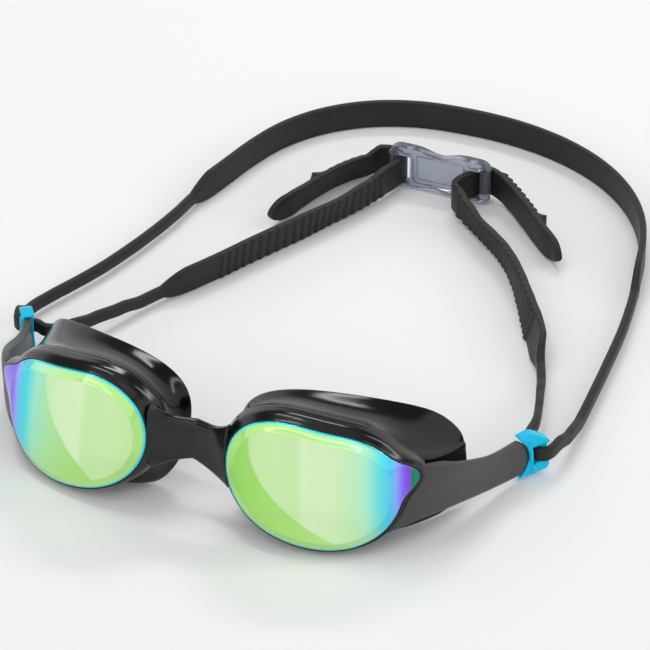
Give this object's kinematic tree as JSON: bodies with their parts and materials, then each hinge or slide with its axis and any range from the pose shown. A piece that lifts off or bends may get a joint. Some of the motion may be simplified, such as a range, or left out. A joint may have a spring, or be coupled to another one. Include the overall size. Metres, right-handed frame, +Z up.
{
  "type": "swim goggles",
  "caption": "Swim goggles with curved mirrored lenses in a soft frame, eye gaskets, side arms with clips, and one long flat strap adjusted through a ladder buckle.",
  "frame": {"origin": "on the table under the middle of the object's outline", "axes": "+X towards the wearer's left, +Y from the lenses back to the strap, +Z up from the table"},
  "size_m": [0.1843, 0.2442, 0.0429],
  "materials": {
    "lens": "mirror-coated clear plastic, green to blue-violet",
    "frame": "smooth glossy black",
    "gasket": "smooth satin black",
    "arm": "matt dark grey",
    "clip": "glossy cyan",
    "strap": "matt near-black",
    "buckle": "translucent smoky grey"
  },
  "bodies": {
    "goggles": {"lens_left": "lens", "lens_right": "lens", "frame": "frame", "gasket_left": "gasket", "gasket_right": "gasket", "arm_left": "arm", "arm_right": "arm", "clip_left": "clip", "clip_right": "clip", "strap_band": "strap", "strap_outer_run_left": "strap", "strap_outer_run_right": "strap", "strap_inner_run_left": "strap", "strap_inner_run_right": "strap", "strap_leg_left": "strap", "strap_leg_right": "strap"},
    "turn_left": {"strap_turn_left": "strap"},
    "turn_right": {"strap_turn_right": "strap"},
    "buckle": {"buckle": "buckle", "strap_fold_left": "strap", "strap_fold_right": "strap"},
    "tail_left": {"strap_tail_left": "strap"},
    "tail_right": {"strap_tail_right": "strap"}
  },
  "joints": [
    {"name": "strap_swing_left", "type": "hinge", "parent": "goggles", "child": "turn_left", "pos_m": [0.08636, -0.05489, 0.0079], "axis": [0, 0, 1], "range_deg": [-8, 8], "deforming": ["strap_outer_run_left", "strap_inner_run_left"]},
    {"name": "strap_swing_right", "type": "hinge", "parent": "goggles", "child": "turn_right", "pos_m": [-0.08636, -0.05489, 0.0079], "axis": [0, 0, 1], "range_deg": [-8, 8], "deforming": ["strap_outer_run_right", "strap_inner_run_right"]},
    {"name": "buckle_slide", "type": "slide", "parent": "goggles", "child": "buckle", "axis": [0, -1, 0], "range_m": [0, 0.012], "deforming": ["strap_leg_left", "strap_leg_right"]},
    {"name": "tail_feed_left", "type": "slide", "parent": "buckle", "child": "tail_left", "axis": [1, 0, 0], "range_m": [0, 0.012]},
    {"name": "tail_feed_right", "type": "slide", "parent": "buckle", "child": "tail_right", "axis": [-1, 0, 0], "range_m": [0, 0.012]}
  ],
  "couplings": [
    {"joint": "tail_feed_left", "follows": "buckle_slide", "ratio": 0.9},
    {"joint": "tail_feed_right", "follows": "buckle_slide", "ratio": 0.9}
  ]
}
